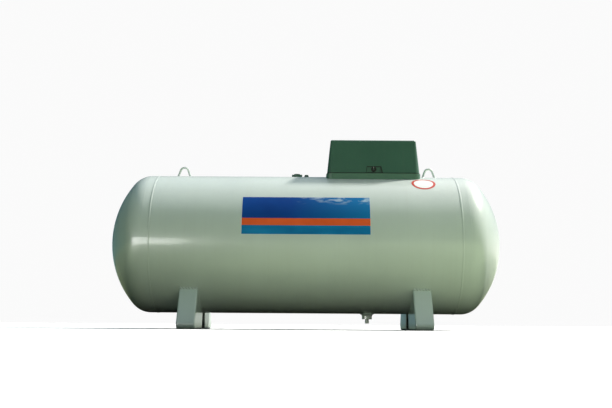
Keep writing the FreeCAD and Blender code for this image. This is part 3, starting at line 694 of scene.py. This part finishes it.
def hexagon_bolts(name, centre, ring, level, count, across, material):
    """A ring of bolt heads: a chamfered hexagon on a thin round washer."""
    alone()
    bpy.ops.mesh.primitive_cylinder_add(vertices=24, radius=across * washer_size,
                                        depth=washer_depth, location=(ring, 0, washer_depth / 2))
    washer = begin("washer")
    alone()
    bpy.ops.mesh.primitive_cylinder_add(vertices=6, radius=across / math.sqrt(3),
                                        depth=bolt_height, location=(ring, 0, bolt_height / 2))
    head = begin("head")
    bpy.ops.object.mode_set(mode="EDIT")
    choose(head, lambda co: co.z > bolt_height * 0.9)
    bpy.ops.mesh.inset(thickness=0.0008, depth=0.0)
    bpy.ops.transform.translate(value=(0, 0, 0.0005))
    closed(head, 20)
    bolt = merged([head, washer], "bolt")
    bolts = [copied(bolt, "bolt", (centre[0], centre[1], level), step * 2 * math.pi / count)
             for step in range(count)]
    bpy.data.objects.remove(bolt)
    return placed(merged(bolts, name), material)


low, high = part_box("spare_boss")
plug_low, plug_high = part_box("spare_plug")
spare_ring = ((high.x - low.x) + (plug_high.x - plug_low.x)) / 4
hexagon_bolts("spare_bolts", ((low.x + high.x) / 2, 0), spare_ring, high.z, 6,
              bolt_across, hood_paint)


# ---------------------------------------------------------------- hood, lock and hinges
# A collar welded to the barrel carries a tapered lid pressed from 3 mm sheet, hinged behind.
# The front has a recess for a padlock, with a black ring through its eye.

# the collar is painted in a lighter copy of the hood's green and dust: painted light, for the
# brighter light on the collar's face
collar_lit_green = (0.072, 0.160, 0.112)
collar_lit_dust = (0.20, 0.21, 0.17)
# the black seal under the lid's edge is painted shade: it stands for the shadow line in the gap
# between lid and collar
gap_shadow_seal_height = 0.0045
gap_shadow_seal_proud = 0.0018
gap_shadow_seal_corner = 0.040
gap_shadow_seal_overlap = 0.0008
gap_shadow_seal_taper = (0.9978, 0.9962, 1)
recess_corners = ((0.4305, 1.1235), (0.4375, 1.1720), (0.5415, 1.1720), (0.5525, 1.1235))
# the black strip round the lock's recess is painted shade: it stands for the shadows on the
# recess's top and right walls
shade_lining_inset = 0.002
shade_lining_widths = {"left": 0.0024, "top": 0.0052, "right": 0.0085}
shade_lining_proud = 0.0014
ring_middle, ring_bar = 0.0122, 0.0062
ring_shift = Vector((0.002, 0, 0.0055))
staple_middle, staple_bar = 0.0056, 0.0010
lid_slope = math.radians(5.8)
rivet_radius = 0.0042
rivet_flatness = 0.42
rivet_crown = 0.0012
rivet_ends = (0.0315, 0.0085)
strap_depth = 0.003

black_rubber = grained_finish("black_moulding", (0.005, 0.006, 0.005), (0.013, 0.014, 0.013),
                              400.0, gloss=(0.45, 0.65), Specular_IOR_Level=0.3)
# painted light: the collar gets a lighter copy of the hood's paint
collar_lit_paint = coating("collar_lit_coating", collar_lit_green, collar_lit_dust, 0.35, peel=hood_peel,
                       Patches=0.08, Settled=0.20, Runs=0.03, Gloss_Low=0.36, Gloss_High=0.48)
for name in ("hood_lid", "lock_pocket", "left_hinge_leaf", "right_hinge_leaf",
             "left_hinge_base", "right_hinge_base"):
    finish_node(name, hood_paint)
finish_node("hood_collar", collar_lit_paint)
for name in ("left_hinge_pin", "right_hinge_pin"):
    finish_node(name, steel_paint)

# a black seal pressed onto the lid's lower edge, which is painted shade: it stands for the shadow
# line in the gap between lid and collar
lid_low, lid_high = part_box("hood_lid")
alone()
bpy.ops.mesh.primitive_plane_add(size=1, location=((lid_low.x + lid_high.x) / 2, 0,
                                                   lid_low.z + 0.0004))
gap_shadow_seal = begin("lid_gap_shadow_seal")
bpy.ops.object.mode_set(mode="EDIT")
bpy.ops.transform.resize(value=(lid_high.x - lid_low.x + 2 * gap_shadow_seal_proud,
                                lid_high.y - lid_low.y + 2 * gap_shadow_seal_proud, 1),
                         center_override=((lid_low.x + lid_high.x) / 2, 0, lid_low.z))
bpy.ops.mesh.bevel(offset=gap_shadow_seal_corner, segments=10, affect="VERTICES")
bpy.ops.mesh.select_mode(type="FACE")
bpy.ops.mesh.select_all(action="SELECT")
bpy.ops.mesh.inset(thickness=gap_shadow_seal_proud + gap_shadow_seal_overlap)
bpy.ops.mesh.delete(type="FACE")
bpy.ops.mesh.select_all(action="SELECT")
bpy.ops.mesh.extrude_region_move(TRANSFORM_OT_translate={"value": (0, 0, gap_shadow_seal_height)})
choose(gap_shadow_seal, lambda co: co.z > lid_low.z + gap_shadow_seal_height / 2)
bpy.ops.transform.resize(value=gap_shadow_seal_taper,
                         center_override=((lid_low.x + lid_high.x) / 2, 0, lid_low.z))
closed(gap_shadow_seal, 40)
placed(gap_shadow_seal, black_rubber, "lid")

# a black strip along the rim of the lock's recess, widest on its right side: painted shade,
# standing for the shadows on the recess's top and right walls
alone()
bpy.ops.mesh.primitive_plane_add(size=1)
shade_lining = begin("lock_recess_shade_lining")
bpy.ops.object.mode_set(mode="EDIT")
for across, up, (x, z) in zip((-1, -1, 1, 1), (-1, 1, 1, -1), recess_corners):
    face_y = lid_low.y + math.tan(lid_slope) * (z - lid_low.z) - shade_lining_proud
    corner = Vector((across / 2, up / 2, 0))
    choose(shade_lining, lambda co: (co - corner).length < 0.01)
    bpy.ops.transform.translate(value=Vector((x, face_y, z)) - corner)
bpy.ops.mesh.select_all(action="SELECT")
bpy.ops.mesh.inset(thickness=shade_lining_inset)
left_x, right_x = recess_corners[0][0], recess_corners[3][0]
bottom_z, top_z = recess_corners[0][1], recess_corners[1][1]
middle_x, middle_z = (left_x + right_x) / 2, (bottom_z + top_z) / 2


def inner(co):
    """True for the points of the inner outline of the black strip that paints the recess's shade.
    """
    return left_x + 0.001 < co.x < right_x - 0.001 and co.z < top_z - 0.001


choose(shade_lining, lambda co: inner(co) and co.x < middle_x)
bpy.ops.transform.translate(value=(shade_lining_widths["left"] - shade_lining_inset, 0, 0))
choose(shade_lining, lambda co: inner(co) and co.x > middle_x)
bpy.ops.transform.translate(value=(shade_lining_inset - shade_lining_widths["right"], 0, 0))
choose(shade_lining, lambda co: inner(co) and co.z > middle_z)
bpy.ops.transform.translate(value=(0, 0, shade_lining_inset - shade_lining_widths["top"]))
choose(shade_lining, inner)
bpy.ops.mesh.delete(type="ONLY_FACE")
choose(shade_lining, lambda co: co.z < bottom_z + 0.0065)
bpy.ops.mesh.delete(type="ONLY_FACE")
bpy.ops.mesh.select_all(action="SELECT")
bpy.ops.mesh.extrude_region_move(TRANSFORM_OT_translate={"value": (0, shade_lining_proud + 0.0008, 0)})
closed(shade_lining, 30)
placed(shade_lining, black_rubber, "lid")

# the lock's ring, with a seam round it from its mould
ring_low, ring_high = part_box("lock_ring")
ring_centre = (ring_low + ring_high) / 2 + ring_shift
alone()
bpy.ops.mesh.primitive_torus_add(major_segments=64, minor_segments=16, major_radius=ring_middle,
                                 minor_radius=ring_bar, location=ring_centre,
                                 rotation=(math.pi / 2, 0, 0))
ring = begin("lock_pull_ring")
bpy.ops.object.mode_set(mode="EDIT")
bpy.ops.mesh.select_all(action="SELECT")
bpy.ops.transform.resize(value=(1, 0.78, 1), center_override=ring_centre)
choose(ring, lambda co: (co - ring_centre).length > ring_middle + ring_bar - 0.0002)
bpy.ops.transform.resize(value=(1.03, 1, 1.03), center_override=ring_centre)
closed(ring, 60)
placed(ring, black_rubber, "lid", instead=("lock_ring",))

# a steel staple holds the ring in the recess
pocket_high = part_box("lock_pocket")[1]
alone()
bpy.ops.mesh.primitive_torus_add(
    major_segments=32, minor_segments=10, major_radius=staple_middle, minor_radius=staple_bar,
    location=(ring_centre.x - 0.0015, pocket_high.y - 0.0075,
              ring_centre.z + ring_middle + 0.001),
    rotation=(0, math.pi / 2, 0))
staple = begin("lock_staple")
bpy.ops.object.mode_set(mode="EDIT")
bpy.ops.mesh.select_all(action="SELECT")
bpy.ops.mesh.bisect(plane_co=(0, pocket_high.y - 0.0018, 0), plane_no=(0, 1, 0),
                    clear_outer=True, use_fill=True)
closed(staple, 60)
placed(staple, steel_paint, "lid")

# domed rivets through each hinge strap
alone()
bpy.ops.mesh.primitive_uv_sphere_add(segments=24, ring_count=12, radius=1,
                                     scale=(rivet_radius,) * 3)
rivet = begin("rivet")
bpy.ops.object.mode_set(mode="EDIT")
bpy.ops.mesh.select_all(action="SELECT")
bpy.ops.transform.resize(value=(1, rivet_flatness, 1), center_override=(0, 0, 0))
choose(rivet, lambda co: co.y > rivet_crown)
bpy.ops.transform.resize(value=(1.15, 1, 1.15), center_override=(0, 0, 0))
closed(rivet, 60)
for side_name in ("left", "right"):
    low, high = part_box(side_name + "_hinge_leaf")
    strap_x = (low.x + high.x) / 2
    rivets = []
    for level in (low.z + rivet_ends[0], high.z - rivet_ends[1]):
        back_y = lid_high.y - math.tan(lid_slope) * (level - lid_low.z) + strap_depth
        rivets.append(copied(rivet, "rivet", shift=(strap_x, back_y, level)))
    placed(merged(rivets, side_name + "_hinge_rivets"), hood_paint, "lid")
bpy.data.objects.remove(rivet)


# ---------------------------------------------------------------- gas fittings under the hood
# Half couplings on the barrel's top carry brass valves with moulded caps, a red handwheel
# and a level gauge with a plain dial.

brass_paint = grained_finish("brass", (0.46, 0.30, 0.12), (0.74, 0.56, 0.27), 60.0,
                             gloss=(0.22, 0.48), detail=6.0, spread=(0.35, 0.65), Metallic=1.0)
red_moulding = grained_finish("red_moulding", (0.38, 0.030, 0.020), (0.50, 0.050, 0.030), 300.0,
                              gloss=(0.40, 0.55))
dial_plastic = grained_finish("dial_plastic", (0.74, 0.74, 0.71), (0.82, 0.82, 0.79), 90.0,
                              Roughness=0.15)

for name in ("fill_boss", "relief_boss", "service_boss", "liquid_boss", "gauge_flange"):
    finish_node(name, plate_paint)
for name in ("fill_valve", "relief_valve", "service_valve", "liquid_valve"):
    finish_node(name, brass_paint)
finish_node("level_gauge", dial_plastic)

cap_flutes = 24
flute_depth = 0.955
cap_rim, cap_step, cap_floor = 0.0030, 0.0035, 0.0060
cap_dish, cap_button = 0.0022, 0.0016
wheel_lobes = 8
spoke_count = 4
spoke_radius, spoke_length, spoke_end = 0.0036, 0.0230, 0.024
hub_radius = 0.0110
bezel_bar = 0.0022
bezel_points = 72
mark_count = 21
mark_first, mark_turn = math.radians(225), math.radians(13.5)
mark_lengths = (0.0055, 0.0032)
mark_edge = 0.0065
mark_width, mark_lift = 0.0009, 0.0003
pointer_reach, pointer_depth = 0.0135, 0.0012
pointer_turn = math.radians(-35)
gauge_bolt_across = 0.008

# caps moulded with grip flutes and a dished top
for name in ("fill_cap", "relief_cap", "liquid_cap"):
    low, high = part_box(name)
    middle = (low + high) / 2
    alone()
    bpy.ops.mesh.primitive_cylinder_add(vertices=cap_flutes * 4, radius=(high.x - low.x) / 2,
                                        depth=high.z - low.z, location=middle)
    cap = begin(name + "_fluted")
    bpy.ops.object.mode_set(mode="EDIT")
    choose(cap, lambda co: round(math.atan2(co.y - middle.y, co.x - middle.x)
                                 / (2 * math.pi) * cap_flutes * 4) % 4 < 2)
    bpy.ops.transform.resize(value=(flute_depth, flute_depth, 1), center_override=middle)
    choose(cap, lambda co: co.z > high.z - 0.0001)
    bpy.ops.mesh.select_mode(type="FACE")
    bpy.ops.mesh.inset(thickness=cap_rim)
    bpy.ops.mesh.inset(thickness=cap_step)
    bpy.ops.transform.translate(value=(0, 0, -cap_dish))
    bpy.ops.mesh.inset(thickness=cap_floor)
    bpy.ops.mesh.inset(thickness=0.0010)
    bpy.ops.transform.translate(value=(0, 0, cap_button))
    closed(cap, 35)
    placed(cap, black_rubber, instead=(name,))

# the handwheel has a lobed rim, four spokes and a hub
low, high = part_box("service_wheel")
middle = (low + high) / 2
rim_bar = (high.z - low.z) / 2
alone()
bpy.ops.mesh.primitive_torus_add(major_segments=96, minor_segments=12, minor_radius=rim_bar,
                                 major_radius=(high.x - low.x) / 2 - rim_bar, location=middle)
rim = begin("rim")
bpy.ops.object.mode_set(mode="EDIT")
choose(rim, lambda co: math.cos(wheel_lobes * math.atan2(co.y - middle.y, co.x - middle.x)) < -0.2)
bpy.ops.transform.resize(value=(0.93, 0.93, 1), center_override=middle)
bpy.ops.mesh.select_all(action="SELECT")
bpy.ops.mesh.vertices_smooth(factor=0.5, repeat=2)
wheel_parts = [closed(rim, 60)]
alone()
bpy.ops.mesh.primitive_cylinder_add(vertices=16, radius=spoke_radius, depth=spoke_length,
                                    rotation=(0, math.pi / 2, 0),
                                    location=(spoke_end - spoke_length / 2, 0, 0))
spoke = begin("spoke")
bpy.ops.object.mode_set(mode="EDIT")
choose(spoke, lambda co: co.x > spoke_end / 2)
bpy.ops.transform.resize(value=(1, 1.5, 1.1), center_override=(spoke_end, 0, 0))
closed(spoke, 50)
wheel_parts += [copied(spoke, "spoke", middle, (step + 0.5) * 2 * math.pi / spoke_count)
                for step in range(spoke_count)]
bpy.data.objects.remove(spoke)
alone()
bpy.ops.mesh.primitive_cylinder_add(vertices=32, radius=hub_radius, depth=high.z - low.z,
                                    location=middle)
hub = begin("hub")
bpy.ops.object.mode_set(mode="EDIT")
choose(hub, lambda co: co.z > high.z - 0.0001)
bpy.ops.mesh.inset(thickness=0.0020)
bpy.ops.mesh.inset(thickness=0.0022)
bpy.ops.transform.translate(value=(0, 0, -0.0020))
wheel_parts.append(closed(hub, 35))
placed(merged(wheel_parts, "service_handwheel"), red_moulding,
       instead=("service_wheel",))

# the gauge has a black bezel, plain division marks and a red pointer under its cover
low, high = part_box("level_gauge")
middle = (low + high) / 2
dial_radius = (high.x - low.x) / 2
alone()
bpy.ops.mesh.primitive_torus_add(major_segments=bezel_points, minor_segments=10,
                                 minor_radius=bezel_bar, major_radius=dial_radius - bezel_bar,
                                 location=(middle.x, middle.y, high.z - 0.0006))
bezel = begin("gauge_bezel")
bpy.ops.object.mode_set(mode="EDIT")
choose(bezel, lambda co: round(math.atan2(co.y, co.x - middle.x)
                               / (2 * math.pi) * bezel_points) % 6 == 0)
bpy.ops.transform.resize(value=(0.992, 0.992, 1), center_override=middle)
closed(bezel, 60)
placed(bezel, black_rubber)
patterns = []
for length in mark_lengths:
    mark_place = (dial_radius - mark_edge - length / 2, 0, 0)
    alone()
    bpy.ops.mesh.primitive_plane_add(size=1, location=mark_place)
    pattern = begin("mark")
    bpy.ops.object.mode_set(mode="EDIT")
    bpy.ops.transform.resize(value=(length, mark_width, 1), center_override=mark_place)
    bpy.ops.mesh.extrude_region_move(TRANSFORM_OT_translate={"value": (0, 0, mark_lift)})
    patterns.append(closed(pattern, 0))
marks = [copied(patterns[0] if step % 5 == 0 else patterns[1], "mark",
                (middle.x, middle.y, high.z - 0.0001), mark_first - step * mark_turn)
         for step in range(mark_count)]
placed(merged(marks, "gauge_marks"), black_rubber)
for pattern in patterns:
    bpy.data.objects.remove(pattern)
alone()
bpy.ops.mesh.primitive_cone_add(vertices=3, radius1=pointer_reach, radius2=0.0,
                                depth=pointer_depth)
pointer = begin("gauge_pointer")
bpy.ops.object.mode_set(mode="EDIT")
bpy.ops.mesh.select_all(action="SELECT")
bpy.ops.transform.resize(value=(0.16, 1.35, 1), center_override=(0, 0, 0))
bpy.ops.mesh.bevel(offset=0.0003, segments=2)
closed(pointer, 30)
pointer.data.transform(Matrix.Translation((middle.x, middle.y, high.z + 0.0003))
                       @ Matrix.Rotation(pointer_turn, 4, "Z"))
placed(pointer, red_moulding)
flange_low, flange_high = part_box("gauge_flange")
gauge_ring = (dial_radius + (flange_high.x - flange_low.x) / 2) / 2
hexagon_bolts("gauge_bolts", (middle.x, middle.y), gauge_ring, flange_high.z, 4,
              gauge_bolt_across, steel_paint)


# ---------------------------------------------------------------- banner
# The banner is three printed vinyl films, blue, rust and teal, on a pale backing film, laid
# on the front of the barrel.

film = 0.0003
banner_left, banner_right = -0.439, 0.443
banner_edge = 0.004
band_angles = {"blue": (36.2, 16.1), "rust": (16.1, 10.2), "teal": (10.2, 2.8)}


def vinyl(name, dark, light, scale, stretch=(1.0, 1.0, 1.0)):
    """Printed glossy film whose colour drifts between two tones."""
    material, tree, shader = paint(name, Roughness=0.35, Specular_IOR_Level=0.12,
                                   Coat_Weight=0.03, Coat_Roughness=0.1)
    spot = add(tree, "Mapping", Vector=add(tree, "TexCoord").outputs["Object"], Scale=stretch)
    printed = grouped(tree, grained, Place=spot.outputs[0], Scale=scale, Detail=3.0,
                      Dark=dark, Light=light, Low=0.35, High=0.65)
    tree.links.new(printed.outputs["Color"], shader.inputs["Base Color"])
    return material, tree, shader, printed.outputs["Color"]


def wrapped(name, left, right, top, bottom, lift, material):
    """A film on the front of the barrel between two angles above the horizontal."""
    radius = shell_radius + lift
    alone()
    bpy.ops.mesh.primitive_plane_add(size=1, location=((left + right) / 2, 0, axis_height))
    piece = begin(name)
    bpy.ops.object.mode_set(mode="EDIT")
    bpy.ops.transform.resize(value=(right - left, 1, 1),
                             center_override=((left + right) / 2, 0, axis_height))
    choose(piece, lambda co: co.y > 0)
    bpy.ops.mesh.delete(type="VERT")
    angle = math.radians(bottom)
    choose(piece, lambda co: True)
    bpy.ops.transform.translate(value=(0, 0.5 - radius * math.cos(angle),
                                       radius * math.sin(angle)))
    bpy.ops.mesh.subdivide(number_cuts=11)
    steps = max(4, round(top - bottom))
    bpy.ops.mesh.select_all(action="SELECT")
    bpy.ops.mesh.spin(steps=steps, angle=math.radians(top - bottom),
                      center=(0, 0, axis_height), axis=(1, 0, 0))
    closed(piece, 0)
    bpy.ops.object.shade_smooth()
    return placed(piece, material)


backing = vinyl("backing_film", (0.72, 0.76, 0.78), (0.78, 0.81, 0.82), 9.0)[0]
rust_film = vinyl("rust_film", (0.76, 0.100, 0.022), (0.88, 0.130, 0.034), 5.0)[0]
teal_film = vinyl("teal_film", (0.002, 0.150, 0.400), (0.006, 0.220, 0.520), 4.0,
                  (1.0, 1.0, 4.0))[0]
blue_film, tree, shader, tone = vinyl("blue_film", (0.001, 0.045, 0.260), (0.003, 0.065, 0.340),
                                      3.0)
split = add(tree, "SeparateXYZ", Vector=add(tree, "TexCoord").outputs["Object"])
along = add(tree, "MapRange", Value=split.outputs["X"], From_Min=-0.1, From_Max=banner_right)
lighter = add(tree, "Mix", data_type="RGBA")
tree.links.new(along.outputs[0], lighter.inputs[0])
tree.links.new(tone, lighter.inputs[6])
lighter.inputs[7].default_value = (0.003, 0.180, 0.460, 1)
cloud_spot = add(tree, "Mapping", Vector=add(tree, "TexCoord").outputs["Object"],
                 Scale=(5.0, 8.0, 16.0), Location=(0.35, 0.0, 0.2))
cloud = add(tree, "TexNoise", Vector=cloud_spot.outputs[0], Scale=1.6, Detail=7.0, Roughness=0.6)
wisp = add(tree, "MapRange", Value=cloud.outputs[0], From_Min=0.50, From_Max=0.62)
above = add(tree, "MapRange", Value=split.outputs["Z"], From_Min=axis_height + 0.235,
            From_Max=axis_height + 0.290)
rightward = add(tree, "MapRange", Value=split.outputs["X"], From_Min=-0.15, From_Max=0.35)
mask = add(tree, "Math", operation="MULTIPLY")
tree.links.new(wisp.outputs[0], mask.inputs[0])
tree.links.new(above.outputs[0], mask.inputs[1])
cloud_mask = add(tree, "Math", operation="MULTIPLY")
tree.links.new(mask.outputs[0], cloud_mask.inputs[0])
tree.links.new(rightward.outputs[0], cloud_mask.inputs[1])
clouded = add(tree, "Mix", data_type="RGBA")
tree.links.new(cloud_mask.outputs[0], clouded.inputs[0])
tree.links.new(lighter.outputs[2], clouded.inputs[6])
clouded.inputs[7].default_value = (0.62, 0.74, 0.82, 1)
tree.links.new(clouded.outputs[2], shader.inputs["Base Color"])

edge_angle = math.degrees(banner_edge / shell_radius) / 2
wrapped("banner_backing", banner_left, banner_right, band_angles["blue"][0],
        band_angles["teal"][1], film, backing)
for name, material in (("blue", blue_film), ("rust", rust_film), ("teal", teal_film)):
    top, bottom = band_angles[name]
    wrapped("banner_" + name, banner_left + banner_edge / 2, banner_right - banner_edge / 2,
            min(top, band_angles["blue"][0] - edge_angle),
            max(bottom, band_angles["teal"][1] + edge_angle), 2 * film, material)


# ---------------------------------------------------------------- sticker
# A round white film with a raised red rim lies on the barrel beside the hood, and follows
# the barrel's curve.

sticker_x = 0.833
sticker_angle = math.radians(56.5)
sticker_radius = 0.085
rim_width = 0.017
sticker_hover = 0.002

white_film = vinyl("white_film", (0.74, 0.77, 0.76), (0.80, 0.82, 0.81), 12.0)[0]
red_film = vinyl("red_film", (0.50, 0.060, 0.045), (0.58, 0.080, 0.060), 12.0)[0]
alone()
bpy.ops.mesh.primitive_cylinder_add(
    vertices=1440, radius=shell_radius, depth=0.6, location=(sticker_x, 0, axis_height),
    rotation=(0, math.pi / 2, 0))
former = begin("former")
distance = shell_radius + sticker_hover
for name, inner_radius, lift, material in (
        ("sticker_rim", sticker_radius - rim_width, 2 * film, red_film),
        ("sticker_face", 0.0, film, white_film)):
    outer_radius = sticker_radius if inner_radius else sticker_radius - rim_width / 2
    alone()
    bpy.ops.mesh.primitive_circle_add(
        vertices=96, radius=outer_radius, fill_type="TRIFAN",
        location=(sticker_x, -distance * math.cos(sticker_angle),
                  axis_height + distance * math.sin(sticker_angle)),
        rotation=(math.pi / 2 - sticker_angle, 0, 0))
    piece = bpy.context.object
    bpy.ops.object.mode_set(mode="EDIT")
    if inner_radius:
        choose(piece, lambda co: co.length < outer_radius / 2)
        bpy.ops.mesh.delete(type="VERT")
        choose(piece, lambda co: True)
        bpy.ops.mesh.extrude_edges_move()
        bpy.ops.transform.resize(value=(inner_radius / outer_radius,) * 3)
    else:
        bpy.ops.mesh.select_all(action="SELECT")
        bpy.ops.mesh.subdivide(number_cuts=12)
    bpy.ops.object.mode_set(mode="OBJECT")
    piece = begin(name)
    grip = piece.modifiers.new("lay", "SHRINKWRAP")
    grip.target = former
    grip.offset = lift
    bpy.ops.object.modifier_apply(modifier=grip.name)
    bpy.ops.object.shade_smooth()
    placed(piece, material)
bpy.data.objects.remove(former)


# ---------------------------------------------------------------- sizes
# The box of the whole object with the new pieces.

low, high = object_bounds()
